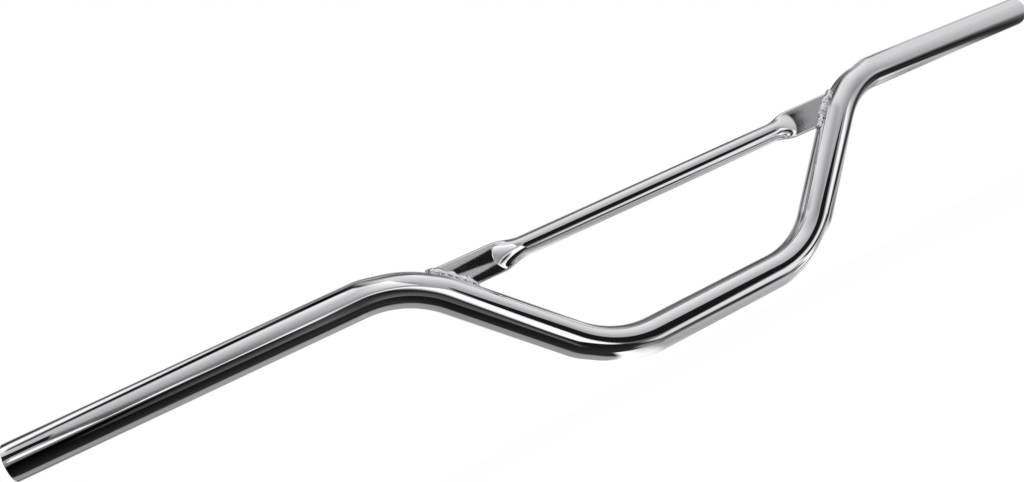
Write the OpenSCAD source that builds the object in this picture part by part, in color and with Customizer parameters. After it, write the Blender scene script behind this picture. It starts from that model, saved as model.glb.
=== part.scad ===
// Motorcycle handlebar: one bent steel tube with a welded cross brace, chrome plated after welding.
// Millimetres. +X is the rider's left, +Y points back to the rider, +Z is up in the plane of the legs.
// The origin is the middle of the clamp seat, on the tube's centre line.

/* [Bar tube] */
// Outer diameter of the bar tube
tube_d = 22.2; // [20:0.1:26]
// Wall of the bar tube
tube_wall = 2; // [1.2:0.1:3]
// Centre-line radius of all four bends, set by the bender's one die
bend_r = 70; // [58:1:78]
// Edge break on the rims of the open ends
rim_break = 0.5; // [0.2:0.1:0.8]

/* [Bar shape] */
// Distance between the corners of the centre line where the clamp seat turns into the legs
seat_corners = 152; // [136:1:170]
// Distance between the corners of the centre line where the legs turn into the grips
shoulder_corners = 346; // [326:1:370]
// Height of those upper corners above the clamp seat
shoulder_z = 93; // [88:1:104]
// Distance between the middles of the two open ends
tip_span = 796; // [720:1:860]
// Height of the open ends above the clamp seat
tip_z = 96; // [80:1:125]
// How far the open ends sit back towards the rider
pullback = 42; // [10:1:80]

/* [Cross brace] */
// Outer diameter of the brace tube
brace_d = 13; // [11:0.1:15]
// Wall of the brace tube
brace_wall = 1.5; // [1:0.1:2]
// Height of the brace's centre line above the clamp seat
brace_z = 82; // [74:0.5:84]
// Length of the flat blade on its centre line, from the crease to the skin of the leg
blade_run = 27; // [16:0.5:34]
// Length over which the round tube is pressed down to the crease
flare_run = 20.5; // [15:0.5:30]
// How far the crease bows towards the weld
crease_bow = 5; // [1:0.5:7]
// Length past the crease in which the blade reaches its full width
spread_run = 4; // [2:0.5:8]

/* [Welds] */
// Radius of one ripple of the weld bead
bead_r = 2.6; // [2:0.1:3.2]
// Distance from one ripple to the next
bead_step = 1.9; // [1.4:0.1:2.4]
// How much the ripples differ in size, as a share of their radius
bead_unevenness = 0.1; // [0:0.01:0.2]

/* [Hidden] */

$fn = 120;
chrome = "#c9c8cd";
bright_weld = "#b4b3b8";
// A cut runs past the face it opens by this much
past = 1;
// Each straight laps into the bend or flare beside it, which is thinner than it by the slack
lap = 0.1;
slack = 0.01;

tube_r = tube_d / 2;
bore_r = tube_r - tube_wall;

function unit(v) = v / norm(v);
function off_line(v, axis) = v - (v * axis) * axis;

// Corners of the centre line on the rider's left side
seat_corner = [seat_corners / 2, 0, 0];
shoulder = [shoulder_corners / 2, 0, shoulder_z];
tip = [tip_span / 2, pullback, tip_z];

// Directions of the straights, and the way that each bend leans
leg_dir = unit(shoulder - seat_corner);
grip_dir = unit(tip - shoulder);
leg_up = [-leg_dir.z, 0, leg_dir.x];
lean = unit(off_line(grip_dir, leg_dir));

lower_turn = acos(leg_dir.x);
upper_turn = acos(leg_dir * grip_dir);
upper_roll = atan2(-lean.y, lean * leg_up);

// A bend takes this length off the straights on both sides of its corner
lower_trim = bend_r * tan(lower_turn / 2);
upper_trim = bend_r * tan(upper_turn / 2);
seat_half = seat_corner.x - lower_trim;
leg_run = norm(shoulder - seat_corner) - lower_trim - upper_trim;
grip_run = norm(tip - shoulder) - upper_trim;

// Where the leg ends, and the circle that the upper bend follows from there
leg_start = seat_corner + lower_trim * leg_dir;
leg_end = leg_start + leg_run * leg_dir;
bend_middle = leg_end + bend_r * lean;
bend_axis = cross(leg_dir, lean);

// Distance of a point from the skin of the leg or of the upper bend, negative inside the tube
function leg_gap(p) = norm(off_line(p - leg_start, leg_dir)) - tube_r;
function bend_gap(p) =
    let (q = p - bend_middle, side = q * bend_axis)
    norm([norm(q - side * bend_axis) - bend_r, side]) - tube_r;
function skin_gap(p) = (p - leg_end) * leg_dir < 0 ? leg_gap(p) : bend_gap(p);

// X at which a line along the brace, at this y and z, meets the skin, found by halving
function skin_x(y, z, out = 0, in = undef, tries = 30) =
    let (
        inside = is_undef(in) ? seat_corner.x + z * leg_dir.x / leg_dir.z : in,
        middle = (out + inside) / 2
    )
    tries == 0 ? middle
    : skin_gap([middle, y, z]) > 0 ? skin_x(y, z, middle, inside, tries - 1)
    : skin_x(y, z, out, middle, tries - 1);

// The end of the brace is pressed until its walls meet. The blade is two walls thick,
// and as wide as half the tube's mid-wall circumference and one wall.
brace_r = brace_d / 2;
brace_bore_r = brace_r - brace_wall;
blade_t = 2 * brace_wall;
blade_w = PI * (brace_d - brace_wall) / 2 + brace_wall;
crease_x = skin_x(0, brace_z) - blade_run;
flare_x = crease_x - flare_run;
full_x = crease_x + spread_run;
blade_reach = skin_x(0, brace_z + blade_w / 2) + tube_r / 2;
// The walls don't quite close at the crease, where this gap is left between them
fold_gap = 0.4;

flare_stations = 10;
flare_steps = 40;

// Ease from 0 to 1 with level ends
function ease(t) = let (s = max(0, min(1, t))) s * s * (3 - 2 * s);
// Ease from 0 to 1 that starts level and ends at full slope, at the crease
function fold(t) = 1 - cos(90 * max(0, min(1, t)));

// Point [y, z] of a flat obround of half width w and half thickness t, at a turn of 0 to 360 degrees.
// It runs along the flat face from the middle, and then round the edge.
function flat_point(turn, w, t) =
    let (
        front = turn < 90 || turn > 270 ? 1 : -1,
        upper = turn < 180 ? 1 : -1,
        quarter = abs(abs(turn - 180) - 90) / 90,
        flat = w - t,
        run = (1 - quarter) * (flat + PI / 2 * t),
        round = max(0, run - flat) / t * 180 / PI
    )
    [front * t * cos(round), upper * (min(run, flat) + t * sin(round))];

// Ring of the pressed end at x. It goes from a circle of radius r to a flat obround, and its
// faces are ahead of its edges by the bow.
function pressed_ring(x, bow, r, w, t) = [
    for (i = [0 : flare_steps - 1])
        let (
            turn = 360 * (i + 0.5) / flare_steps,
            flat = flat_point(turn, w, t),
            thinned = fold((x - flare_x) / flare_run),
            spread = ease((x - flare_x) / (full_x - flare_x)),
            y = r * cos(turn) * (1 - thinned) + flat[0] * thinned,
            z = r * sin(turn) * (1 - spread) + flat[1] * spread
        )
        [x - bow * pow(flat[1] / w, 2), y, z]
];

// Skin over rings with the same number of points, closed by a face at both ends. The end face
// starts at the blade's edge, because its points along the blade's flat sides lie in line.
module skin_over(rings) {
    steps = len(rings[0]);
    last = len(rings) - 1;
    edge = floor(steps / 4);
    sides = [
        for (k = [0 : last - 1]) for (i = [0 : steps - 1])
            let (j = (i + 1) % steps)
            [k * steps + i, (k + 1) * steps + i, (k + 1) * steps + j, k * steps + j]
    ];
    start_cap = [for (i = [0 : steps - 1]) i];
    end_cap = [for (i = [steps - 1 : -1 : 0]) last * steps + (i + edge) % steps];
    polyhedron([for (ring = rings) each ring], concat([start_cap], sides, [end_cap]));
}

module rod_x(r, from, to) {
    translate([from, 0, 0]) rotate([0, 90, 0]) cylinder(r = r, h = to - from);
}

module both_sides() {
    children();
    mirror([1, 0, 0]) children();
}

// Bend that starts at the origin along +X and turns to +Z, with its children at its end
module bend(r, turn) {
    translate([0, 0, bend_r]) rotate([90, 0, 0]) rotate([0, 0, -90])
        rotate_extrude(angle = turn) translate([bend_r, 0]) circle(r - slack);
    translate([bend_r * sin(turn), 0, bend_r * (1 - cos(turn))]) rotate([0, -turn, 0]) children();
}

// Solid rod along half of the bar, as the bender makes it: feed, bend, feed, roll, bend.
// Its children go on from there along the grip.
module half_rod(r) {
    rod_x(r, 0, seat_half + lap);
    translate([seat_half, 0, 0]) bend(r, lower_turn) {
        rod_x(r, -lap, leg_run + lap);
        translate([leg_run, 0, 0]) rotate([upper_roll, 0, 0]) bend(r, upper_turn) children();
    }
}

module grip_skin() {
    rod_x(tube_r, -lap, grip_run - rim_break);
    translate([grip_run - rim_break, 0, 0]) rotate([0, 90, 0])
        cylinder(r1 = tube_r, r2 = tube_r - rim_break, h = rim_break);
}

module grip_bore() {
    rod_x(bore_r, -lap, grip_run + past);
    translate([grip_run - rim_break, 0, 0]) rotate([0, 90, 0])
        cylinder(r1 = bore_r, r2 = bore_r + rim_break + past, h = rim_break + past);
}

module bar_rods() {
    both_sides() half_rod(tube_r) grip_skin();
}

module handlebar_tube() {
    color(chrome) difference() {
        bar_rods();
        both_sides() half_rod(bore_r) grip_bore();
    }
}

// Half of the pressed brace, from its middle to inside the leg
module half_brace() {
    rod_x(brace_r, 0, flare_x + lap);
    skin_over([
        for (k = [0 : flare_stations])
            let (share = k / flare_stations)
            pressed_ring(
                flare_x + share * flare_run, crease_bow * share,
                brace_r - slack, blade_w / 2 - slack, blade_t / 2 - slack
            ),
        pressed_ring(full_x, 0, brace_r - slack, blade_w / 2 - slack, blade_t / 2 - slack)
    ]);
    translate([full_x - lap, 0, 0]) rotate([90, 0, 90]) linear_extrude(blade_reach - full_x) {
        square([blade_t, blade_w - blade_t], center = true);
        for (side = [-1, 1]) translate([0, side * (blade_w - blade_t) / 2]) circle(blade_t / 2);
    }
}

// The hollow inside it, which closes at the crease
module half_hollow() {
    rod_x(brace_bore_r, 0, flare_x + lap);
    skin_over([
        for (k = [0 : flare_stations])
            let (share = k / flare_stations)
            pressed_ring(
                flare_x + share * flare_run, crease_bow * share,
                brace_bore_r - slack, blade_w / 2 - brace_wall, fold_gap / 2
            )
    ]);
}

module cross_brace() {
    color(chrome) difference() {
        translate([0, 0, brace_z]) both_sides() half_brace();
        bar_rods();
        translate([0, 0, brace_z]) both_sides() half_hollow();
    }
}

// The weld runs round the foot of the blade, one ripple of metal after another
blade_loop = 2 * (blade_w - blade_t) / leg_dir.z + PI * blade_t;
ripples = round(blade_loop / bead_step);

module left_bead() {
    for (i = [0 : ripples - 1]) {
        foot = flat_point(360 * (i + 0.5) / ripples, blade_w / 2, blade_t / 2);
        height = brace_z + foot[1];
        swell = 1 + bead_unevenness * sin(i * 137);
        translate([skin_x(foot[0], height), foot[0], height]) sphere(bead_r * swell);
    }
}

module weld(side) {
    color(bright_weld) difference() {
        mirror([side < 0 ? 1 : 0, 0, 0]) left_bead();
        bar_rods();
        translate([0, 0, brace_z]) mirror([side < 0 ? 1 : 0, 0, 0]) half_brace();
    }
}

handlebar_tube();
cross_brace();
weld(1);  // weld_left
weld(-1);  // weld_right
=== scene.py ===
"""Looks of a chrome-plated motorcycle handlebar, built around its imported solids.

The bar is a bent tube with a pressed cross brace and the two weld beads that hold it. Sizes are in
millimetres until a mesh is made. +X is the rider's left, +Y points back to the rider, +Z is up.
"""
import logging
import math
from dataclasses import dataclass
from enum import Enum
from typing import Sequence

import bpy
import numpy as np
from mathutils import Matrix


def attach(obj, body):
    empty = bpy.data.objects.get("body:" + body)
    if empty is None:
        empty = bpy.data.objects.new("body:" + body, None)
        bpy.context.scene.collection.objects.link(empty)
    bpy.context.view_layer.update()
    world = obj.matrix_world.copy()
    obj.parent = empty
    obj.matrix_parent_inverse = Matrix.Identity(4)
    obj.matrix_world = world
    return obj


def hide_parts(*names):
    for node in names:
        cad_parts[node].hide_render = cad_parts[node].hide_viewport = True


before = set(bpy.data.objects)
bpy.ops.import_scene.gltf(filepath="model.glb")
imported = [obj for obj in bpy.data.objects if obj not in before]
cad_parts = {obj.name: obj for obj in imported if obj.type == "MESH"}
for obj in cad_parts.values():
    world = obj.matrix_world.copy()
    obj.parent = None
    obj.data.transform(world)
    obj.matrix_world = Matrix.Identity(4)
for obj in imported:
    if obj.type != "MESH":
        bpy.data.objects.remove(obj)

MM = 0.001
DISPLAY_GAMMA = 2.2
LOG = logging.getLogger("handlebar")


# Small helpers

def linear(hex_code: str) -> tuple[float, float, float, float]:
    """Turns an sRGB hex colour into linear light.

    Args:
        hex_code: six hex digits, with or without a leading #.

    Returns:
        Red, green, blue and an alpha of 1, in linear light.
    """
    digits = hex_code.lstrip("#")
    parts = [int(digits[k:k + 2], 16) / 255 for k in (0, 2, 4)]
    light = [c / 12.92 if c <= 0.04045 else ((c + 0.055) / 1.055) ** 2.4 for c in parts]
    return (light[0], light[1], light[2], 1.0)


def add_node(tree: bpy.types.NodeTree, kind: str, settings: dict | None = None,
             **inputs: object) -> bpy.types.Node:
    """Adds one node with its settings, and links or sets its inputs.

    Args:
        tree: the node tree that gets the node.
        kind: Blender's name for the node type.
        settings: attributes of the node, by name.
        inputs: sockets by name, with _ for a space, or by number as i0, i1 and so on. A socket is
            linked and any other value is set.

    Returns:
        The new node.
    """
    node = tree.nodes.new(kind)
    for name, value in (settings or {}).items():
        setattr(node, name, value)
    for name, value in inputs.items():
        numbered = name[0] == "i" and name[1:].isdigit()
        socket = node.inputs[int(name[1:])] if numbered else node.inputs[name.replace("_", " ")]
        if isinstance(value, bpy.types.NodeSocket):
            tree.links.new(value, socket)
        else:
            socket.default_value = value
    return node


def new_material(name: str) -> tuple[bpy.types.Material, bpy.types.NodeTree, bpy.types.Node]:
    """Makes an empty node material.

    Args:
        name: the real material and how its surface was made.

    Returns:
        The material, its node tree and its output node.
    """
    material = bpy.data.materials.new(name)
    material.use_nodes = True
    tree = material.node_tree
    tree.nodes.clear()
    return material, tree, tree.nodes.new("ShaderNodeOutputMaterial")


def unit(v: np.ndarray) -> np.ndarray:
    """Scales vectors to length 1 along their last axis.

    Args:
        v: the vectors.

    Returns:
        The same directions, each of length 1.
    """
    return v / np.linalg.norm(v, axis=-1, keepdims=True)


def ease(t: np.ndarray) -> np.ndarray:
    """Eases from 0 to 1 with level ends: 3t squared less 2t cubed.

    Args:
        t: places along the change, 0 where it starts and 1 where it ends.

    Returns:
        The eased values, 0 before the start and 1 past the end.
    """
    s = np.clip(t, 0.0, 1.0)
    return s * s * (3 - 2 * s)


def turned(v: np.ndarray, axis: np.ndarray, angle: np.ndarray) -> np.ndarray:
    """Turns a vector about an axis by each of many angles, by the rule for a turn about a line.

    Args:
        v: the vector.
        axis: unit axis.
        angle: angles in radians, one for each result.

    Returns:
        One turned vector for each angle.
    """
    c, s = np.cos(angle)[:, None], np.sin(angle)[:, None]
    return v * c + np.cross(axis, v) * s + axis * (axis @ v) * (1 - c)


def surface(name: str, points: np.ndarray, uv: np.ndarray, looped: bool) -> bpy.types.Object:
    """Makes a smooth closed mesh from a grid of points, with columns that run round it.

    Row i and column j meet at points[i, j], and each face joins four neighbours. Rows either loop
    back to the first one, or end in a fan of triangles about the middle of the last ring.

    Args:
        name: the object's name.
        points: rows by columns by 3, in millimetres.
        uv: rows by columns by 2, in millimetres round and along the surface.
        looped: whether the last row joins the first one.

    Returns:
        The object, at the origin, with its place in its mesh.
    """
    rows, columns = points.shape[:2]
    i = np.arange(rows if looped else rows - 1)[:, None]
    j = np.arange(columns)[None, :]
    here, right = i * columns + j, i * columns + (j + 1) % columns
    above, across = ((i + 1) % rows) * columns + j, ((i + 1) % rows) * columns + (j + 1) % columns
    quads = np.stack([here, right, across, above], -1).reshape(-1, 4)
    flat = points.reshape(-1, 3)
    flat_uv = uv.reshape(-1, 2)
    fans = np.zeros((0, 3), int)
    if not looped:
        ring = np.arange(columns)
        after = (ring + 1) % columns
        base = (rows - 1) * columns
        first = np.stack([after, ring, np.full(columns, len(flat))], -1)
        last = np.stack([base + ring, base + after, np.full(columns, len(flat) + 1)], -1)
        fans = np.concatenate([first, last])
        flat = np.concatenate([flat, points[0].mean(0)[None], points[-1].mean(0)[None]])
        flat_uv = np.concatenate([flat_uv, uv[0].mean(0)[None], uv[-1].mean(0)[None]])
    a, b, c, d = (flat[quads[:, k]] for k in range(4))
    volume = (np.cross(a, b) * c).sum() + (np.cross(a, c) * d).sum()
    if volume < 0:
        quads, fans = quads[:, ::-1], fans[:, ::-1]
    corners = np.concatenate([quads.ravel(), fans.ravel()]).astype(np.int32)
    sizes = np.concatenate([np.full(len(quads), 4), np.full(len(fans), 3)]).astype(np.int32)
    mesh = bpy.data.meshes.new(name)
    mesh.vertices.add(len(flat))
    mesh.vertices.foreach_set("co", (flat * MM).astype(np.float32).ravel())
    mesh.loops.add(len(corners))
    mesh.loops.foreach_set("vertex_index", corners)
    mesh.polygons.add(len(sizes))
    starts = np.concatenate([[0], np.cumsum(sizes)[:-1]]).astype(np.int32)
    mesh.polygons.foreach_set("loop_start", starts)
    mesh.polygons.foreach_set("use_smooth", np.ones(len(sizes), bool))
    layer = mesh.uv_layers.new(name="surface_mm")
    layer.data.foreach_set("uv", (flat_uv[corners] / 100).astype(np.float32).ravel())
    mesh.update(calc_edges=True)
    mesh.validate()
    piece = bpy.data.objects.new(name, mesh)
    bpy.context.scene.collection.objects.link(piece)
    return piece


def place_on_frame(piece: bpy.types.Object, node: str) -> None:
    """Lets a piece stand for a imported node.

    Args:
        piece: the dressed piece.
        node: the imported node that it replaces.
    """
    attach(piece, "root")
    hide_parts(node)


# Finishes

@dataclass(frozen=True)
class PolishedChrome:
    """Bright chrome plate on drawn steel tube, buffed along its length.

    The eye sees a mirror with a faint cool pink cast. Buffing leaves lines under 0.1 mm apart, which
    are drawn 0.6 mm apart so that they show as a trace of haze, and the tube under the plate waves
    by a few thousandths of a millimetre over some centimetres.
    """

    name: str = "chrome plate on drawn steel, buffed"
    colour: str = "#e9e7ea"
    roughness: float = 0.022
    haze: float = 0.02
    line_gap_mm: float = 0.6
    line_length_mm: float = 25.0
    wave_mm: float = 18.0
    wave_depth_mm: float = 0.012

    def build(self) -> bpy.types.Material:
        """Makes the material. Haze and waves follow the surface's own length and girth.

        Returns:
            The material.
        """
        material, tree, output = new_material(self.name)
        where = add_node(tree, "ShaderNodeUVMap", {"uv_map": "surface_mm"})
        along = add_node(tree, "ShaderNodeMapping", None, Vector=where.outputs[0],
                         Scale=(100 / self.line_gap_mm, 100 / self.line_length_mm, 1))
        lines = add_node(tree, "ShaderNodeTexNoise", None, Vector=along.outputs[0],
                         Scale=1.0, Detail=2.0, Roughness=0.6)
        cloud = add_node(tree, "ShaderNodeMapping", None, Vector=where.outputs[0],
                         Scale=(100 / self.wave_mm, 100 / (3 * self.wave_mm), 1))
        waves = add_node(tree, "ShaderNodeTexNoise", None, Vector=cloud.outputs[0],
                         Scale=1.0, Detail=1.0, Roughness=0.4)
        rough = add_node(tree, "ShaderNodeMapRange", None, Value=lines.outputs[0], From_Min=0.35,
                         From_Max=0.75, To_Min=self.roughness, To_Max=self.roughness + self.haze)
        swell = add_node(tree, "ShaderNodeBump", None, Height=waves.outputs[0], Strength=1.0,
                         Distance=self.wave_depth_mm * MM)
        shader = add_node(tree, "ShaderNodeBsdfPrincipled", None, Base_Color=linear(self.colour),
                          Metallic=1.0, Roughness=rough.outputs[0], Normal=swell.outputs[0])
        tree.links.new(shader.outputs[0], output.inputs[0])
        return material


@dataclass(frozen=True)
class PressedChrome:
    """Bright chrome plate on tube that a die has pressed.

    The eye sees the same mirror, a little less even: the pressed steel keeps dimples about 2 mm
    across, and the plate over them is barely hazy.
    """

    name: str = "chrome plate on pressed steel tube"
    colour: str = "#e9e7ea"
    roughness: float = 0.04
    haze: float = 0.04
    dimple_mm: float = 2.2
    dimple_depth_mm: float = 0.006

    def build(self) -> bpy.types.Material:
        """Makes the material, with dimples in the piece's own millimetres.

        Returns:
            The material.
        """
        material, tree, output = new_material(self.name)
        where = add_node(tree, "ShaderNodeTexCoord")
        dimples = add_node(tree, "ShaderNodeTexNoise", None, Vector=where.outputs["Object"],
                           Scale=1 / (self.dimple_mm * MM), Detail=2.0, Roughness=0.5)
        rough = add_node(tree, "ShaderNodeMapRange", None, Value=dimples.outputs[0], From_Min=0.3,
                         From_Max=0.8, To_Min=self.roughness, To_Max=self.roughness + self.haze)
        swell = add_node(tree, "ShaderNodeBump", None, Height=dimples.outputs[0], Strength=1.0,
                         Distance=self.dimple_depth_mm * MM)
        shader = add_node(tree, "ShaderNodeBsdfPrincipled", None, Base_Color=linear(self.colour),
                          Metallic=1.0, Roughness=rough.outputs[0], Normal=swell.outputs[0])
        tree.links.new(shader.outputs[0], output.inputs[0])
        return material


@dataclass(frozen=True)
class WeldChrome:
    """Bright chrome plate over an unground weld bead.

    The eye sees bright lumps some 3 mm wide: the plate copies each ripple. Specks under 1 mm wide in
    the low places between lumps are darkened as painted shade, and they are rougher too.
    """

    name: str = "chrome plate on weld metal"
    colour: str = "#e4e2e5"
    speck_shade_colour: str = "#555355"
    roughness: float = 0.03
    pit_roughness: float = 0.25
    lump_mm: float = 2.6
    lump_depth_mm: float = 0.2
    pit_mm: float = 1.4

    def build(self) -> bpy.types.Material:
        """Makes the material, with lumps and pits in the piece's own millimetres.

        Returns:
            The material.
        """
        material, tree, output = new_material(self.name)
        where = add_node(tree, "ShaderNodeTexCoord")
        lumps = add_node(tree, "ShaderNodeTexNoise", None, Vector=where.outputs["Object"],
                         Scale=1 / (self.lump_mm * MM), Detail=0.6, Roughness=0.4)
        pits = add_node(tree, "ShaderNodeTexVoronoi", None, Vector=where.outputs["Object"],
                        Scale=1 / (self.pit_mm * MM))
        deep = add_node(tree, "ShaderNodeMapRange", None, Value=lumps.outputs[0], From_Min=0.5,
                        From_Max=0.4, To_Min=0.0, To_Max=1.0)
        speck = add_node(tree, "ShaderNodeMapRange", None, Value=pits.outputs[0], From_Min=0.45,
                         From_Max=0.25, To_Min=0.0, To_Max=1.0)
        # Painted shade: specks in the hollows between lumps get a dark base colour, and they are also
        # rougher.
        shaded_rough_speck = add_node(tree, "ShaderNodeMath", {"operation": "MULTIPLY"},
                        i0=deep.outputs[0], i1=speck.outputs[0])
        colour = add_node(tree, "ShaderNodeMix", {"data_type": "RGBA"}, i0=shaded_rough_speck.outputs[0],
                          i6=linear(self.colour), i7=linear(self.speck_shade_colour))
        rough = add_node(tree, "ShaderNodeMapRange", None, Value=shaded_rough_speck.outputs[0],
                         To_Min=self.roughness, To_Max=self.pit_roughness)
        swell = add_node(tree, "ShaderNodeBump", None, Height=lumps.outputs[0], Strength=1.0,
                         Distance=self.lump_depth_mm * MM)
        shader = add_node(tree, "ShaderNodeBsdfPrincipled", None, Base_Color=colour.outputs[2],
                          Metallic=1.0, Roughness=rough.outputs[0], Normal=swell.outputs[0])
        tree.links.new(shader.outputs[0], output.inputs[0])
        return material


@dataclass(frozen=True)
class BareBore:
    """Bare steel inside the tube, which the plating bath hardly reached.

    The eye sees a dull dark grey, streaked lengthwise by the drawing die, with a few faint brown
    stains some millimetres long.
    """

    name: str = "drawn steel, unplated"
    colour: str = "#6b6968"
    stain: str = "#4a4038"
    roughness: float = 0.42
    streak_mm: float = 1.2
    streak_depth_mm: float = 0.03
    stain_mm: float = 9.0

    def build(self) -> bpy.types.Material:
        """Makes the material, with streaks along the bore.

        Returns:
            The material.
        """
        material, tree, output = new_material(self.name)
        where = add_node(tree, "ShaderNodeUVMap", {"uv_map": "surface_mm"})
        along = add_node(tree, "ShaderNodeMapping", None, Vector=where.outputs[0],
                         Scale=(100 / self.streak_mm, 100 / (20 * self.streak_mm), 1))
        streaks = add_node(tree, "ShaderNodeTexNoise", None, Vector=along.outputs[0],
                           Scale=1.0, Detail=3.0, Roughness=0.6)
        patch = add_node(tree, "ShaderNodeMapping", None, Vector=where.outputs[0],
                         Scale=(100 / self.stain_mm, 100 / self.stain_mm, 1))
        stains = add_node(tree, "ShaderNodeTexNoise", None, Vector=patch.outputs[0],
                          Scale=1.0, Detail=4.0, Roughness=0.65)
        share = add_node(tree, "ShaderNodeMapRange", None, Value=stains.outputs[0],
                         From_Min=0.52, From_Max=0.7, To_Min=0.0, To_Max=0.8)
        colour = add_node(tree, "ShaderNodeMix", {"data_type": "RGBA"}, i0=share.outputs[0],
                          i6=linear(self.colour), i7=linear(self.stain))
        rough = add_node(tree, "ShaderNodeMapRange", None, Value=streaks.outputs[0],
                         From_Min=0.3, From_Max=0.7, To_Min=self.roughness - 0.1,
                         To_Max=self.roughness + 0.12)
        swell = add_node(tree, "ShaderNodeBump", None, Height=streaks.outputs[0], Strength=1.0,
                         Distance=self.streak_depth_mm * MM)
        shader = add_node(tree, "ShaderNodeBsdfPrincipled", None, Base_Color=colour.outputs[2],
                          Metallic=1.0, Roughness=rough.outputs[0], Normal=swell.outputs[0])
        tree.links.new(shader.outputs[0], output.inputs[0])
        return material


# The bar

class Side(Enum):
    """A side of the bar, with the sign of its x."""

    LEFT = 1
    RIGHT = -1


@dataclass
class Stations:
    """Places along the bar's centre line, with a frame that doesn't twist."""

    centre: np.ndarray
    along: np.ndarray
    side: np.ndarray
    up: np.ndarray
    outward: np.ndarray
    bent: np.ndarray
    length: np.ndarray


@dataclass
class BarTube:
    """The bent tube: clamp seat, two legs and two grips."""

    tube_d: float = 22.2
    tube_wall: float = 2.0
    bend_r: float = 70.0
    rim_break: float = 0.5
    seat_corners: float = 152.0
    shoulder_corners: float = 346.0
    shoulder_z: float = 93.0
    tip_span: float = 796.0
    tip_z: float = 96.0
    pullback: float = 42.0
    flattened: float = 0.95
    fade_degrees: float = 12.0
    bore_stride: int = 3
    round_points: int = 144
    straight_step: float = 5.0
    bend_step: float = 0.9

    @property
    def radius(self) -> float:
        """Outer radius of the tube."""
        return self.tube_d / 2

    def corners(self) -> np.ndarray:
        """Corners of the centre line.

        Returns:
            Six corners, from the right tip to the left tip.
        """
        half = np.array([[self.tip_span / 2, self.pullback, self.tip_z],
                         [self.shoulder_corners / 2, 0, self.shoulder_z],
                         [self.seat_corners / 2, 0, 0]])
        return np.concatenate([half * [-1, 1, 1], half[::-1]])

    def route(self) -> Stations:
        """Places along the centre line: straights joined by arcs of the bend radius.

        On an arc the frame turns about the arc's axis, so it never twists about the tube. The outer
        side of a bend is marked by the direction away from the arc's middle, and the mark fades in
        over the first and last degrees of the arc.

        Returns:
            Stations from the right tip to the left tip.
        """
        corner = self.corners()
        ways = unit(np.diff(corner, axis=0))
        turns = np.arccos((ways[:-1] * ways[1:]).sum(1))
        trims = self.bend_r * np.tan(turns / 2)
        side = unit(np.cross(ways[0], [0.0, 0.0, 1.0]))
        rows: list[tuple[np.ndarray, ...]] = []
        for k, way in enumerate(ways):
            start = corner[k] + (trims[k - 1] * way if k > 0 else 0)
            stop = corner[k + 1] - (trims[k] * way if k < len(trims) else 0)
            reach = np.linalg.norm(stop - start)
            t = np.linspace(0, 1, 1 + math.ceil(reach / self.straight_step))[:, None]
            if k > 0:
                t = t[1:]
            ones = np.ones_like(t)
            up = np.cross(side, way)
            rows.append((start + t * (stop - start), ones * way, ones * side, ones * up,
                         ones * up, 0 * t[:, 0]))
            if k == len(trims):
                break
            axis = unit(np.cross(way, ways[k + 1]))
            inward = np.cross(axis, way)
            middle = stop + self.bend_r * inward
            count = math.ceil(self.bend_r * turns[k] / self.bend_step)
            angle = np.linspace(0, turns[k], count + 1)[1:]
            away = turned(-inward, axis, angle)
            fade = math.radians(self.fade_degrees)
            bent = ease(angle / fade) * ease((turns[k] - angle) / fade)
            rows.append((middle + self.bend_r * away, turned(way, axis, angle),
                         turned(side, axis, angle), turned(up, axis, angle), away, bent))
            side = turned(side, axis, turns[k:k + 1])[0]
        centre, along, sides, ups, outward, bent = (np.concatenate(part) for part in zip(*rows))
        steps = np.linalg.norm(np.diff(centre, axis=0), axis=1)
        return Stations(centre, along, sides, ups, outward, bent,
                        np.concatenate([[0], np.cumsum(steps)]))

    def rings(self, at: Stations, radius: np.ndarray, shift: np.ndarray) -> np.ndarray:
        """Rings of the tube's skin: a circle about each station, pulled in on the outside of a bend.

        The radius falls by the flattening times the square of the cosine of the angle from the
        bend's outer side, on that side only.

        Args:
            at: the stations.
            radius: one radius for each ring.
            shift: how far each ring lies along the tube from its station.

        Returns:
            Rings by points by 3.
        """
        turn = np.linspace(0, 2 * np.pi, self.round_points, endpoint=False)[None, :, None]
        way = np.cos(turn) * at.side[:, None] + np.sin(turn) * at.up[:, None]
        facing = np.clip((way * at.outward[:, None]).sum(-1, keepdims=True), 0, None)
        drawn_in = self.flattened * at.bent[:, None, None] * facing ** 2
        base = at.centre + at.along * shift[:, None]
        return base[:, None] + (radius[:, None, None] - drawn_in) * way

    def rim(self) -> tuple[np.ndarray, np.ndarray]:
        """Rounded rim of an open end: a quarter circle off the skin, the face, one into the bore.

        Returns:
            Distances back from the end, and radii.
        """
        q = np.linspace(0, np.pi / 2, 7)
        e = self.rim_break
        outer, bore = self.radius, self.radius - self.tube_wall
        back = np.concatenate([e - e * np.sin(q), e - e * np.sin(q[::-1])])
        radii = np.concatenate([outer - e + e * np.cos(q), bore + e - e * np.cos(q[::-1])])
        return back, radii

    def build(self, chrome: bpy.types.Material, bore: bpy.types.Material) -> bpy.types.Object:
        """Makes the tube with its bore and rims as one closed skin.

        Rings run along the outside from right to left, round the left rim, back through the bore
        with wider spaces, and round the right rim.

        Args:
            chrome: finish of the outside and the rims.
            bore: finish of the inside.

        Returns:
            The tube.
        """
        at = self.route()
        back, radii = self.rim()

        def pick(index: np.ndarray) -> Stations:
            """Takes stations from the centre line.

            Args:
                index: number of each station to take.

            Returns:
                Those stations, in that order.
            """
            return Stations(*(getattr(at, name)[index] for name in
                              ("centre", "along", "side", "up", "outward", "bent", "length")))

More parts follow.
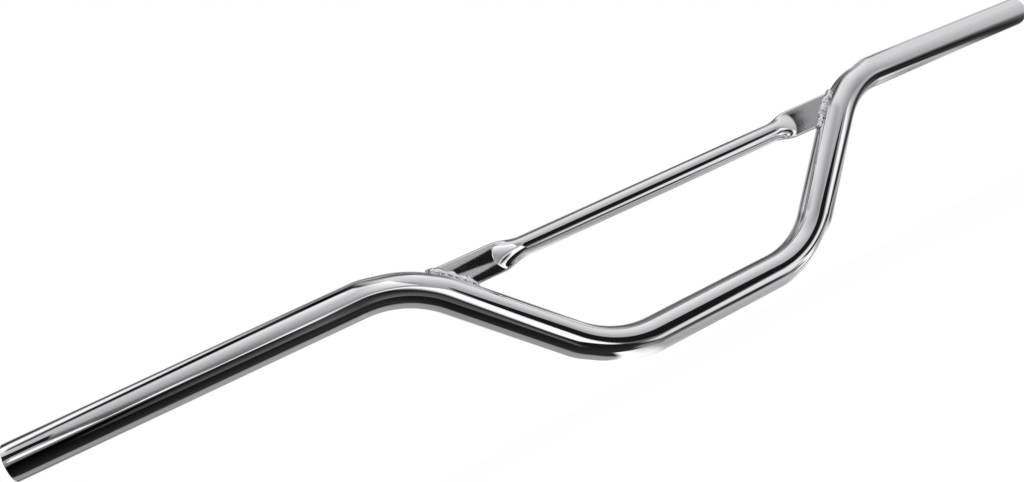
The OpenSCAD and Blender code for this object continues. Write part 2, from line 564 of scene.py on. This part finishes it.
        last = len(at.length) - 1
        outer = np.arange(1, last)
        inner = np.arange(last - 1, 0, -self.bore_stride)
        order = np.concatenate([np.zeros(len(back), int), outer, np.full(len(back), last), inner])
        radius = np.concatenate([radii[::-1], np.full(len(outer), self.radius), radii,
                                 np.full(len(inner), self.radius - self.tube_wall)])
        shift = np.concatenate([back[::-1], np.zeros(len(outer)), -back, np.zeros(len(inner))])
        points = self.rings(pick(order), radius, shift)
        girth = np.linspace(0, 2 * np.pi * self.radius, self.round_points, endpoint=False)
        uv = np.stack(np.broadcast_arrays(girth[None, :], (at.length[order] + shift)[:, None]), -1)
        piece = surface("bar_tube", points, uv, looped=True)
        piece.data.materials.append(chrome)
        piece.data.materials.append(bore)
        first_bore = len(back) + len(outer) + len(back) - 1
        rows = np.arange(len(piece.data.polygons)) // self.round_points
        inside = ((rows >= first_bore) & (rows < len(order))).astype(np.int32)
        piece.data.polygons.foreach_set("material_index", inside)
        place_on_frame(piece, "handlebar_tube")
        return piece

    def skin_x(self, y: np.ndarray, z: np.ndarray) -> np.ndarray:
        """X at which lines along the brace meet the skin of the left leg or its upper bend.

        A line is halved between a point clear of the bar and one on the leg's middle. The gap to
        the skin is the distance to the leg's line, or past its end to the bend's circle, less the
        radius.

        Args:
            y: y of each line.
            z: z of each line.

        Returns:
            The x of each meeting point.
        """
        right = self.corners()
        seat, shoulder, tip = right[3], right[4], right[5]
        leg, grip = unit(shoulder - seat), unit(tip - shoulder)
        lean = unit(grip - (grip @ leg) * leg)
        turn = math.acos(leg @ grip)
        end = shoulder - self.bend_r * math.tan(turn / 2) * leg
        middle, axis = end + self.bend_r * lean, np.cross(leg, lean)

        def gap(x: np.ndarray) -> np.ndarray:
            """Gap between the skin and points on the lines.

            Args:
                x: x of each point.

            Returns:
                Distances from the skin, negative inside the tube.
            """
            p = np.stack([x, y, z], -1)
            q = p - seat
            straight = np.linalg.norm(q - (q @ leg)[..., None] * leg, axis=-1)
            m = p - middle
            aside = m @ axis
            ring = np.linalg.norm(m - aside[..., None] * axis, axis=-1) - self.bend_r
            return np.where((p - end) @ leg < 0, straight, np.hypot(ring, aside)) - self.radius

        out, inside = np.zeros_like(z), seat[0] + z * leg[0] / leg[2]
        for _ in range(40):
            mid = (out + inside) / 2
            clear = gap(mid) > 0
            out, inside = np.where(clear, mid, out), np.where(clear, inside, mid)
        return (out + inside) / 2


@dataclass
class PressedBrace:
    """The cross brace: a small tube whose ends are pressed into blades."""

    bar: BarTube
    brace_d: float = 13.0
    brace_wall: float = 1.5
    brace_z: float = 82.0
    blade_run: float = 27.0
    flare_run: float = 20.5
    crease_bow: float = 5.0
    spread_run: float = 4.0
    left_lobe_rise: float = 0.03
    right_lobe_rise: float = 0.30
    rear_lobe_rise: float = 0.30
    crease_round: float = 0.014
    fold_reach: float = 1.2
    ring_counts: tuple[int, int, int, int] = (18, 56, 26, 34)
    round_points: int = 200
    seated: float = 0.8

    @property
    def blade_t(self) -> float:
        """Thickness of a blade, which is two walls."""
        return 2 * self.brace_wall

    @property
    def blade_w(self) -> float:
        """Width of a blade: half the mid-wall girth and one wall."""
        return math.pi * (self.brace_d - self.brace_wall) / 2 + self.brace_wall

    def flat_outline(self, lobe_rise: float) -> tuple[np.ndarray, np.ndarray, np.ndarray]:
        """Outline of the pressed blade, as y and z for each turn about the brace.

        It is an obround: along the flat face from its middle, and then round the edge. Two low
        lobes run along each face, where the walls didn't quite go flat: half the rise times one
        less the cosine of two full turns across the width.

        Args:
            lobe_rise: how far the lobes rise above the flat face at the front.

        Returns:
            The turn in radians, and the outline's y and z.
        """
        turn = 2 * np.pi * (np.arange(self.round_points) + 0.5) / self.round_points
        degrees = np.degrees(turn)
        w, t = self.blade_w / 2, self.blade_t / 2
        rear = np.where((degrees < 90) | (degrees > 270), 1.0, -1.0)
        upper = np.where(degrees < 180, 1.0, -1.0)
        quarter = np.abs(np.abs(degrees - 180) - 90) / 90
        flat = w - t
        run = (1 - quarter) * (flat + np.pi / 2 * t)
        bend = np.clip(run - flat, 0, None) / t
        z = upper * (np.minimum(run, flat) + t * np.sin(bend))
        rise = np.where(rear > 0, self.rear_lobe_rise, lobe_rise)
        lobe = rise * (1 - np.cos(2 * np.pi * z / w)) / 2
        return turn, rear * (t * np.cos(bend) + lobe * np.cos(bend)), z

    def half(self, lobe_rise: float) -> tuple[np.ndarray, np.ndarray]:
        """Rings of one half, drawn at the left, from the middle into the leg.

        The round section becomes the flat outline. Thickness follows a quarter cosine that reaches
        the crease at full slope, rounded there by a soft floor. Width follows a level ease to just
        the crease. The faces lead the edges by a bow that grows as a square across the width. Rings
        are counted for the round tube, the flare, the fold at the crease and the blade.

        Args:
            lobe_rise: how far the lobes rise above the blade's flat face at the front.

        Returns:
            Rings by points by 3, and the length along the brace of each ring.
        """
        turn, flat_y, flat_z = self.flat_outline(lobe_rise)
        crease = float(self.bar.skin_x(np.zeros(1), np.full(1, self.brace_z))[0]) - self.blade_run
        start, full = crease - self.flare_run, crease + self.spread_run
        r, w = self.brace_d / 2, self.blade_w / 2
        before, after = crease - self.fold_reach, crease + self.fold_reach
        on_plain, on_flare, on_fold, on_blade = self.ring_counts
        plain = np.linspace(0, start, on_plain)[:-1]
        flare = np.linspace(start, before, on_flare)[:-1]
        fold = np.linspace(before, after, on_fold)
        blade = np.linspace(after, crease + self.blade_run, on_blade)[1:]
        x = np.concatenate([plain, flare, fold, blade])[:, None]
        share = (x - start) / self.flare_run
        open_part = np.cos(np.pi / 2 * np.clip(share, 0, 1.5))
        soft = self.crease_round
        left_open = soft * np.logaddexp(0, open_part / soft)
        left_open = np.where(share <= 0, 1.0, left_open)
        spread = ease((x - start) / (full - start))
        y = flat_y + (r * np.cos(turn) - flat_y) * left_open
        z = r * np.sin(turn) * (1 - spread) + flat_z * spread
        bow = self.crease_bow * np.clip(share, 0, 1) * (flat_z / w) ** 2
        foot = self.bar.skin_x(y, z + self.brace_z) + self.seated
        into_blade = np.clip((x - crease) / self.blade_run, 0, 1)
        lead = x - bow
        at_crease = crease - self.crease_bow * (flat_z / w) ** 2
        placed = np.where(x <= crease, lead, at_crease + into_blade * (foot - at_crease))
        rings = np.stack([placed, y, z + self.brace_z], -1)
        return rings, x[:, 0]

    def build(self, chrome: bpy.types.Material) -> bpy.types.Object:
        """Makes the whole brace from its left half and the mirror image of its right half.

        The die left lobes on the right blade's front and hardly any on the left one's.

        Args:
            chrome: finish of the brace.

        Returns:
            The brace.
        """
        rings, x = self.half(self.left_lobe_rise)
        mirrored = self.half(self.right_lobe_rise)[0][:0:-1] * [-1, 1, 1]
        points = np.concatenate([mirrored, rings])
        girth = np.linspace(0, np.pi * self.brace_d, self.round_points, endpoint=False)
        reach = np.concatenate([-x[:0:-1], x])
        uv = np.stack(np.broadcast_arrays(girth[None, :], reach[:, None]), -1)
        piece = surface("brace_tube", points, uv, looped=False)
        piece.data.materials.append(chrome)
        place_on_frame(piece, "cross_brace")
        return piece


@dataclass
class WeldBead:
    """The fillet weld round the foot of one blade, laid in overlapping ripples."""

    brace: PressedBrace
    side: Side
    leg: float = 2.9
    squareness: float = 1.35
    ripple_gap: float = 4.2
    ripple_depth: float = 0.26
    wander: float = 0.85
    top_taper: float = 0.5
    bottom_taper: float = 0.2
    seed: int = 5
    slope_step: float = 0.05
    loop_points: int = 420
    round_points: int = 72

    def foot_loop(self) -> tuple[np.ndarray, np.ndarray, np.ndarray, float]:
        """The line where the blade meets the leg, and two directions that leave it.

        The loop is an obround carried onto the leg. One direction is the leg's outward normal,
        taken from slopes of the skin, and the other lies in the skin and points away from the
        blade.

        Returns:
            Points, outward normals and away directions, and the loop's length.
        """
        brace, bar = self.brace, self.brace.bar
        w, t = brace.blade_w / 2, brace.blade_t / 2
        flat = w - t
        total = 4 * flat + 2 * np.pi * t
        s = np.linspace(0, total, self.loop_points, endpoint=False)
        arc = np.pi * t
        z = np.select([s < 2 * flat, s < 2 * flat + arc, s < 4 * flat + arc],
                      [-flat + s, flat + t * np.sin((s - 2 * flat) / t),
                       flat - (s - 2 * flat - arc)],
                      -flat - t * np.sin((s - 4 * flat - arc) / t))
        y = np.select([s < 2 * flat, s < 2 * flat + arc, s < 4 * flat + arc],
                      [t + 0 * s, t * np.cos((s - 2 * flat) / t), -t + 0 * s],
                      -t * np.cos((s - 4 * flat - arc) / t))
        height = z + brace.brace_z
        x = bar.skin_x(y, height)
        h = self.slope_step
        by_y = (bar.skin_x(y + h, height) - bar.skin_x(y - h, height)) / (2 * h)
        by_z = (bar.skin_x(y, height + h) - bar.skin_x(y, height - h)) / (2 * h)
        normal = unit(np.stack([-np.ones_like(y), by_y, by_z], -1))
        points = np.stack([x, y, height], -1)
        way = unit(np.roll(points, -1, 0) - np.roll(points, 1, 0))
        away = unit(np.cross(way, normal))
        away *= np.sign((away * (points - points.mean(0))).sum(-1).mean())
        length = np.linalg.norm(np.diff(points, axis=0, append=points[:1]), axis=1).sum()
        return points, normal, away, float(length)

    def unevenness(self, around: np.ndarray, across: np.ndarray) -> np.ndarray:
        """Swell of the bead from one place to the next: a sum of waves with seeded phases.

        Args:
            around: turn along the loop, in radians.
            across: turn round the bead, in radians.

        Returns:
            Values about 0, mostly within 1.
        """
        dice = np.random.default_rng(self.seed + (self.side is Side.RIGHT))
        total = np.zeros(np.broadcast(around, across).shape)
        for waves in (3, 4, 6, 9, 12):
            for turns in (-1, 0, 1):
                phase = dice.uniform(0, 2 * np.pi)
                size = dice.uniform(0.4, 1.0) * waves ** -0.6
                total += size * np.cos(waves * around + turns * across + phase)
        return total / 1.4

    def build(self, chrome: bpy.types.Material) -> bpy.types.Object:
        """Makes the bead as a ring about the foot of the blade.

        Its section is a rounded square on its corner, which gives a nearly flat fillet. Its size
        goes through one rounded step at each ripple. The ripples come at an uneven pace, and trail
        back at the bead's middle as crescents. The swell is larger on the blade than on the leg,
        and the bead is smaller past the blade's edges.

        Args:
            chrome: finish of the bead.

        Returns:
            The bead.
        """
        points, normal, away, length = self.foot_loop()
        around = np.linspace(0, 2 * np.pi, self.loop_points, endpoint=False)[:, None]
        across = np.linspace(0, 2 * np.pi, self.round_points, endpoint=False)[None, :]
        c, s = np.cos(across), np.sin(across)
        p = self.squareness
        fillet = (np.abs(c) ** p + np.abs(s) ** p) ** (-1 / p)
        count = round(length / self.ripple_gap)
        rough = self.unevenness(around, across)
        uneven_pace = 1.4 * np.cos(3 * around + 1) + 1.1 * np.cos(5 * around + 2.5)
        bow = 1.5 * np.cos(across - np.pi / 4)
        beat = np.mod(count * around + uneven_pace + bow + 0.8 * rough, 2 * np.pi) / (2 * np.pi)
        step = np.sqrt(np.clip(1 - (2 * beat - 1) ** 2, 0, 1))
        onto_blade = 0.25 + 0.75 * c ** 2
        height = (points[:, 2:] - self.brace.brace_z) / (self.brace.blade_w / 2)
        taper = 1 - self.top_taper * ease((height - 0.55) / 0.45)
        taper = taper - self.bottom_taper * ease((-height - 0.55) / 0.45)
        size = self.leg * taper * fillet + self.ripple_depth * (step - 0.7)
        size = size + self.wander * taper * onto_blade * rough
        size = size[..., None]
        ring = points[:, None] + size * (c[..., None] * normal[:, None] + s[..., None] * away[:, None])
        ring = ring * [self.side.value, 1, 1]
        uv = np.stack(np.broadcast_arrays(across * self.leg, around * length / (2 * np.pi)), -1)
        name = "weld_bead_" + self.side.name.lower()
        piece = surface(name, ring, uv, looped=True)
        piece.data.materials.append(chrome)
        place_on_frame(piece, "weld_" + self.side.name.lower())
        return piece


# The studio

@dataclass(frozen=True)
class StudioCard:
    """A curved card or light that only mirrors see, so that the chrome has a room to reflect.

    Directions are in degrees: azimuth 0 is +Y and 90 is +X. Half sizes and the soft edge are
    tangents, as seen from the bar, and distance is in metres. Values are display greys, with what
    they change by towards the card's right and upper edges. Cells are the faces along each edge.
    """

    name: str
    azimuth: float
    elevation: float
    roll: float
    distance: float
    half_width: float
    half_height: float
    soft: float
    value: float
    to_right: float = 0.0
    to_top: float = 0.0
    cells: int = 32
    brightest: float = 1.15

    def build(self) -> bpy.types.Object:
        """Makes the card as a patch of a sphere about the bar, whose edges fade by a smooth step.

        A point at tangents u and v lies along out + u right + v up, at the card's distance. Patches
        of nested spheres always cover one another in the order of their distances.

        Returns:
            The card.
        """
        az, el, roll = (math.radians(a) for a in (self.azimuth, self.elevation, self.roll))
        out = np.array([math.sin(az) * math.cos(el), math.cos(az) * math.cos(el), math.sin(el)])
        level = np.array([math.cos(az), -math.sin(az), 0.0])
        rise = np.cross(level, out)
        right = math.cos(roll) * level + math.sin(roll) * rise
        up = -math.sin(roll) * level + math.cos(roll) * rise
        w, h = (math.atan(half + self.soft / 2) for half in (self.half_width, self.half_height))
        count = self.cells + 1
        u, v = np.meshgrid(np.tan(np.linspace(-w, w, count)), np.tan(np.linspace(-h, h, count)))
        uv = np.stack([u.ravel(), v.ravel()], -1)
        points = self.distance * unit(out + uv[:, :1] * right + uv[:, 1:] * up)
        i, j = np.meshgrid(np.arange(self.cells), np.arange(self.cells))
        first = (i + j * count).ravel()
        quads = np.stack([first, first + 1, first + 1 + count, first + count], -1)
        mesh = bpy.data.meshes.new("card " + self.name)
        mesh.from_pydata(points.tolist(), [], quads.tolist())
        corner = uv[quads.ravel()]
        layer = mesh.uv_layers.new(name="card")
        layer.data.foreach_set("uv", corner.astype(np.float32).ravel())
        card = bpy.data.objects.new("card " + self.name, mesh)
        bpy.context.scene.collection.objects.link(card)
        mesh.materials.append(self.paint())
        for ray in ("camera", "diffuse", "transmission", "volume_scatter", "shadow"):
            setattr(card, "visible_" + ray, False)
        return card

    def paint(self) -> bpy.types.Material:
        """Makes the card's glow, with soft edges and an even change of value across it.

        Returns:
            The material.
        """
        material, tree, output = new_material("studio card, " + self.name)
        where = add_node(tree, "ShaderNodeUVMap", {"uv_map": "card"})
        parts = add_node(tree, "ShaderNodeSeparateXYZ", None, i0=where.outputs[0])
        value, mask = None, None
        for axis, half, change in ((0, self.half_width, self.to_right),
                                   (1, self.half_height, self.to_top)):
            size = add_node(tree, "ShaderNodeMath", {"operation": "ABSOLUTE"},
                            i0=parts.outputs[axis])
            edge = add_node(tree, "ShaderNodeMapRange", {"interpolation_type": "SMOOTHSTEP"},
                            Value=size.outputs[0], From_Min=half + self.soft / 2,
                            From_Max=half - self.soft / 2, To_Min=0.0, To_Max=1.0)
            slope = add_node(tree, "ShaderNodeMath", {"operation": "MULTIPLY_ADD"},
                             i0=parts.outputs[axis], i1=change / half,
                             i2=self.value if value is None else value)
            value = slope.outputs[0]
            mask = edge.outputs[0] if mask is None else add_node(
                tree, "ShaderNodeMath", {"operation": "MULTIPLY"}, i0=mask,
                i1=edge.outputs[0]).outputs[0]
        shown = add_node(tree, "ShaderNodeClamp", None, Value=value, Min=0.0, Max=self.brightest)
        light = add_node(tree, "ShaderNodeMath", {"operation": "POWER"}, i0=shown.outputs[0],
                         i1=DISPLAY_GAMMA)
        glow = add_node(tree, "ShaderNodeEmission", None, Color=light.outputs[0], Strength=1.0)
        clear = add_node(tree, "ShaderNodeBsdfTransparent")
        mix = add_node(tree, "ShaderNodeMixShader", None, i0=mask, i1=clear.outputs[0],
                       i2=glow.outputs[0])
        tree.links.new(mix.outputs[0], output.inputs[0])
        return material


# The cards, the farthest first. A card covers what is behind it, so a dark flag cuts a white panel
# down to the thin bright line that runs along the tube. After the name come azimuth, elevation and
# roll, distance, half width, half height and soft edge, value, and its change to right and top.
# The figures were found by a fit to the tones along the real tubes, and then rounded.
CARDS: tuple[StudioCard, ...] = (
    StudioCard("white wall, left", 98, 20, 78, 9.0, 0.9, 0.45, 0.35, 0.9, 0.1, 0.1),
    StudioCard("pale ceiling, front right", -157, 62, 52, 7.3, 1.05, 0.25, 0.35, 0.9, 0.35, -0.1),
    StudioCard("pale wall, behind", 7, 5, -3, 4.3, 2.4, 0.45, 0.35, 0.85, 0.2),
    StudioCard("grey floor, behind", -20, -45, -20, 1.32, 1.0, 0.5, 0.35, 0.65, 0.1),
    StudioCard("white floor, behind left", 35, -55, -70, 1.3, 1.25, 0.35, 0.15, 0.95, 0.0, -0.35),
    StudioCard("grey scrim, high, behind left", 42, 48, -3, 1.28, 0.55, 0.3, 0.35, 0.6, 0.15, -0.1),
    StudioCard("left half of the arch", 44, 42, 60, 1.26, 0.35, 0.13, 0.08, 0.45),
    StudioCard("grey scrim, overhead", 35, 80, -70, 1.24, 0.4, 0.2, 0.25, 0.65, -0.5, -0.3),
    StudioCard("black flag, overhead", -82, 72, 35, 1.22, 0.55, 0.12, 0.1, 0.1),
    StudioCard("right half of the arch", -5, 43, 6, 1.2, 0.23, 0.1, 0.06, 0.08),
    StudioCard("black floor, front right", -141, -37, -5, 0.82, 1.1, 0.7, 0.2, 0.12, 0.0, -0.1),
    StudioCard("dark edge of that floor", -145, -23, 40, 0.81, 0.25, 0.25, 0.08, 0.3, -0.1, -0.1),
    StudioCard("black flag, front left", 156, 2, 19, 0.8, 0.32, 0.33, 0.03, 0.13),
    StudioCard("white panel, front", -173, -7, -15, 0.79, 0.27, 0.3, 0.05, 1.1),
    StudioCard("white panel, low, front left", 131, -22, 42, 0.78, 0.25, 0.52, 0.15, 1.0, 0.0, 0.1),
    StudioCard("pale floor, behind left", 65, -47, -43, 0.77, 0.85, 0.3, 0.35, 0.75, 0.0, 0.1),
    StudioCard("white strip, front right", -136, 6, -69, 0.76, 0.07, 0.3, 0.01, 1.1),
    StudioCard("grey scrim, front right", -145, 15, -85, 0.75, 0.22, 0.1, 0.12, 0.55, -0.1, -0.15),
    StudioCard("grey fall-off, low, left", 95, -26, -12, 0.74, 0.35, 0.17, 0.1, 0.6, 0.5, -0.5),
    StudioCard("white panel, behind left", 52, -9, -42, 0.73, 1.2, 0.2, 0.2, 1.0, 0.4),
    StudioCard("grey scrim, high, behind", -34, 44, 4, 0.72, 0.58, 0.16, 0.22, 0.47, 0.4),
    StudioCard("grey fall-off, behind left", 49, 26, 60, 0.71, 0.3, 0.18, 0.2, 0.5, -0.4),
    StudioCard("white patch, high, left", 89, 27, 18, 0.7, 0.18, 0.16, 0.1, 0.9),
    StudioCard("grey edge, high, left", 59, 28, 43, 0.69, 0.24, 0.09, 0.06, 0.6, -0.5, 0.2),
    StudioCard("grey scrim, overhead, right", -42, 70, 6, 0.68, 0.17, 0.3, 0.07, 0.65, -0.45),
    StudioCard("black flag, overhead, right", -98, 73, 8, 0.67, 0.4, 0.18, 0.3, 0.1, 0.0, 0.5),
    StudioCard("dark strip, low, front", -154, -21, 6, 0.66, 0.11, 0.46, 0.18, 0.2, 0.15, -0.1),
    StudioCard("pale scrim, high, front right", -141, 36, -21, 0.65, 0.48, 0.42, 0.02, 0.75, -0.35, 0.1),
    StudioCard("grey strip, behind left", 31, 21, 0, 0.64, 0.29, 0.05, 0.04, 0.7, 0.0, -0.1),
    StudioCard("pale scrim, behind left", 63, -11, -43, 0.63, 0.27, 0.13, 0.15, 0.9, 0.0, -0.5),
    StudioCard("dark strip, low, front left", 121, -17, 24, 0.62, 0.11, 0.16, 0.06, 0.25, 0.5, 0.25),
    StudioCard("dark floor, front left", 143, -49, -17, 0.61, 0.28, 0.17, 0.17, 0.35, 0.25, -0.2),
    StudioCard("dark strip, left", 92, -5, 67, 0.6, 0.1, 0.43, 0.14, 0.25, 0.3, 0.2),
    StudioCard("pale patch, front right", -146, 6, 30, 0.59, 0.08, 0.12, 0.09, 0.85, -0.2, -0.35),
    StudioCard("pale scrim, high, right", -124, 43, -65, 0.58, 0.38, 0.3, 0.12, 0.85, -0.15, 0.1),
    StudioCard("pale strip, low, left", 85, -31, 35, 0.57, 0.44, 0.12, 0.07, 0.8, 0.0, 0.15),
    StudioCard("white strip, behind left", 59, 23, -18, 0.56, 0.08, 0.3, 0.26, 1.05, -0.1, 0.2),
    StudioCard("dark strip, right", -73, 2, -35, 0.55, 0.87, 0.09, 0.01, 0.35, 0.25),
    StudioCard("pale thread, overhead", -23, 67, 24, 0.54, 0.86, 0.015, 0.16, 0.8, -0.25, 0.15),
)


@dataclass
class Studio:
    """Pale floor, white surroundings, soft lamps and the cards that the chrome mirrors."""

    cards: Sequence[StudioCard] = CARDS
    world_strength: float = 0.95
    floor_z: float = -0.25
    floor_half: float = 6.0
    floor_glow: float = 1.06
    floor_glow_share: float = 0.75
    room_radius: float = 14.0
    room_value: float = 0.58
    room_rise: float = 0.40

    def build(self) -> None:
        """Makes everything round the bar."""
        self.white_world()
        self.build_floor()
        self.build_room()
        for card in self.cards:
            card.build()
        bar_middle = (0.0, 0.0, 0.05)
        self.soft_lamp("overhead", (0.1, -0.3, 1.6), bar_middle, size=1.8, power=26.0)
        self.soft_lamp("side", (1.6, -1.0, 0.7), bar_middle, size=1.2, power=8.0)

    def seen_white(self, tree: bpy.types.NodeTree) -> bpy.types.NodeSocket:
        """Gives 1 for rays of the camera, of gloss and of transmission, and 0 for the rest.

        Args:
            tree: the node tree to add to.

        Returns:
            The socket with that value.
        """
        path = add_node(tree, "ShaderNodeLightPath")
        first = add_node(tree, "ShaderNodeMath", {"operation": "MAXIMUM"},
                         i0=path.outputs["Is Camera Ray"], i1=path.outputs["Is Glossy Ray"])
        return add_node(tree, "ShaderNodeMath", {"operation": "MAXIMUM"}, i0=first.outputs[0],
                        i1=path.outputs["Is Transmission Ray"]).outputs[0]

    def white_world(self) -> None:
        """Makes surroundings that look white and light the bar softly."""
        world = bpy.data.worlds.new("pale studio")
        bpy.context.scene.world = world
        world.use_nodes = True
        tree = world.node_tree
        tree.nodes.clear()
        soft = add_node(tree, "ShaderNodeBackground", None, Color=linear("#f2f3f5"),
                        Strength=self.world_strength)
        white = add_node(tree, "ShaderNodeBackground", None, Color=(1, 1, 1, 1), Strength=1.0)
        mix = add_node(tree, "ShaderNodeMixShader", None, i0=self.seen_white(tree),
                       i1=soft.outputs[0], i2=white.outputs[0])
        output = add_node(tree, "ShaderNodeOutputWorld")
        tree.links.new(mix.outputs[0], output.inputs[0])

    def build_floor(self) -> None:
        """Makes the floor: matt white paper that looks white and still takes a faint shadow."""
        material, tree, output = new_material("matt white paper")
        grain = add_node(tree, "ShaderNodeTexNoise", None, Scale=900.0, Detail=2.0)
        swell = add_node(tree, "ShaderNodeBump", None, Height=grain.outputs[0], Strength=0.1,
                         Distance=0.0002)
        paper = add_node(tree, "ShaderNodeBsdfPrincipled", None, Base_Color=linear("#f4f4f4"),
                         Roughness=0.9, Normal=swell.outputs[0])
        white = add_node(tree, "ShaderNodeEmission", None, Color=(1, 1, 1, 1),
                         Strength=self.floor_glow)
        share = add_node(tree, "ShaderNodeMath", {"operation": "MULTIPLY"},
                         i0=self.seen_white(tree), i1=self.floor_glow_share)
        mix = add_node(tree, "ShaderNodeMixShader", None, i0=share.outputs[0],
                       i1=paper.outputs[0], i2=white.outputs[0])
        tree.links.new(mix.outputs[0], output.inputs[0])
        h, z = self.floor_half, self.floor_z
        mesh = bpy.data.meshes.new("floor")
        mesh.from_pydata([(-h, -h, z), (h, -h, z), (h, h, z), (-h, h, z)], [], [(0, 1, 2, 3)])
        mesh.materials.append(material)
        floor = bpy.data.objects.new("floor", mesh)
        bpy.context.scene.collection.objects.link(floor)
        floor.visible_glossy = False

    def build_room(self) -> None:
        """Makes the grey room that the chrome sees between the cards, paler towards its ceiling."""
        material, tree, output = new_material("studio walls")
        where = add_node(tree, "ShaderNodeTexCoord")
        parts = add_node(tree, "ShaderNodeSeparateXYZ", None, i0=where.outputs["Object"])
        value = add_node(tree, "ShaderNodeMath", {"operation": "MULTIPLY_ADD"},
                         i0=parts.outputs[2], i1=self.room_rise / self.room_radius,
                         i2=self.room_value)
        light = add_node(tree, "ShaderNodeMath", {"operation": "POWER"}, i0=value.outputs[0],
                         i1=DISPLAY_GAMMA)
        glow = add_node(tree, "ShaderNodeEmission", None, Color=light.outputs[0], Strength=1.0)
        tree.links.new(glow.outputs[0], output.inputs[0])
        turn = np.linspace(0, 2 * np.pi, 48, endpoint=False)[None, :]
        tilt = np.linspace(0.03, np.pi - 0.03, 25)[:, None]
        r = self.room_radius / MM
        ball = np.stack([r * np.sin(tilt) * np.cos(turn), r * np.sin(tilt) * np.sin(turn),
                         r * np.cos(tilt) + 0 * turn], -1)
        room = surface("studio_walls", ball, ball[..., :2], looped=False)
        room.data.materials.append(material)
        for ray in ("camera", "diffuse", "transmission", "volume_scatter", "shadow"):
            setattr(room, "visible_" + ray, False)

    def soft_lamp(self, name: str, place: Sequence[float], target: Sequence[float],
                  size: float, power: float) -> None:
        """Adds a square lamp that mirrors don't see, because the cards stand for it there.

        Args:
            name: what the lamp is.
            place: where it stands, in metres.
            target: the point that it faces.
            size: its side, in metres.
            power: its power in watts.
        """
        light = bpy.data.lights.new(name, "AREA")
        light.shape = "SQUARE"
        light.size = size
        light.energy = power
        lamp = bpy.data.objects.new("lamp_" + name, light)
        bpy.context.scene.collection.objects.link(lamp)
        out = unit(np.array(place) - np.array(target))
        right = unit(np.cross([0.0, 0.0, 1.0], out) + [1e-6, 0, 0])
        axes = np.stack([right, np.cross(out, right), out], 1)
        lamp.matrix_world = Matrix.Translation(place) @ Matrix(axes.tolist()).to_4x4()
        lamp.visible_glossy = False


@dataclass(frozen=True)
class PhotoCamera:
    """The camera of the photograph: low in front of the bar, rolled, near its right grip.

    Its place is in metres. Place, axes and focal length come from the bar's outlines.
    """

    place: tuple[float, float, float] = (-0.323134, -0.555167, 0.003725)
    right: tuple[float, float, float] = (0.848292, -0.268117, -0.456633)
    down: tuple[float, float, float] = (-0.382972, 0.284896, -0.878730)
    focal_px: float = 1009.78
    width_px: int = 1024
    sensor_mm: float = 36.0

    def build(self) -> bpy.types.Object:
        """Makes the camera and gives it to the scene.

        Returns:
            The camera.
        """
        data = bpy.data.cameras.new("photo_camera")
        data.sensor_fit = "HORIZONTAL"
        data.sensor_width = self.sensor_mm
        data.lens = self.focal_px / self.width_px * self.sensor_mm
        data.clip_start, data.clip_end = 0.01, 50.0
        camera = bpy.data.objects.new("photo_camera", data)
        bpy.context.scene.collection.objects.link(camera)
        right, up = np.array(self.right), -np.array(self.down)
        axes = np.stack([right, up, np.cross(right, up)], 1)
        camera.matrix_world = Matrix.Translation(self.place) @ Matrix(axes.tolist()).to_4x4()
        bpy.context.scene.camera = camera
        return camera


def main() -> None:
    """Builds the camera, the bar and the studio in order, and reports each."""
    logging.basicConfig(level=logging.INFO, format="%(message)s")
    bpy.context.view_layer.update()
    PhotoCamera().build()
    LOG.info("camera placed")
    bar = BarTube()
    tube = bar.build(PolishedChrome().build(), BareBore().build())
    LOG.info("%s: %d faces", tube.name, len(tube.data.polygons))
    brace = PressedBrace(bar)
    piece = brace.build(PressedChrome().build())
    LOG.info("%s: %d faces", piece.name, len(piece.data.polygons))
    weld_chrome = WeldChrome().build()
    for side in Side:
        bead = WeldBead(brace, side).build(weld_chrome)
        LOG.info("%s: %d faces", bead.name, len(bead.data.polygons))
    Studio().build()
    LOG.info("studio built")
    bpy.context.scene.view_settings.view_transform = "Standard"


if __name__ == "__main__":
    main()
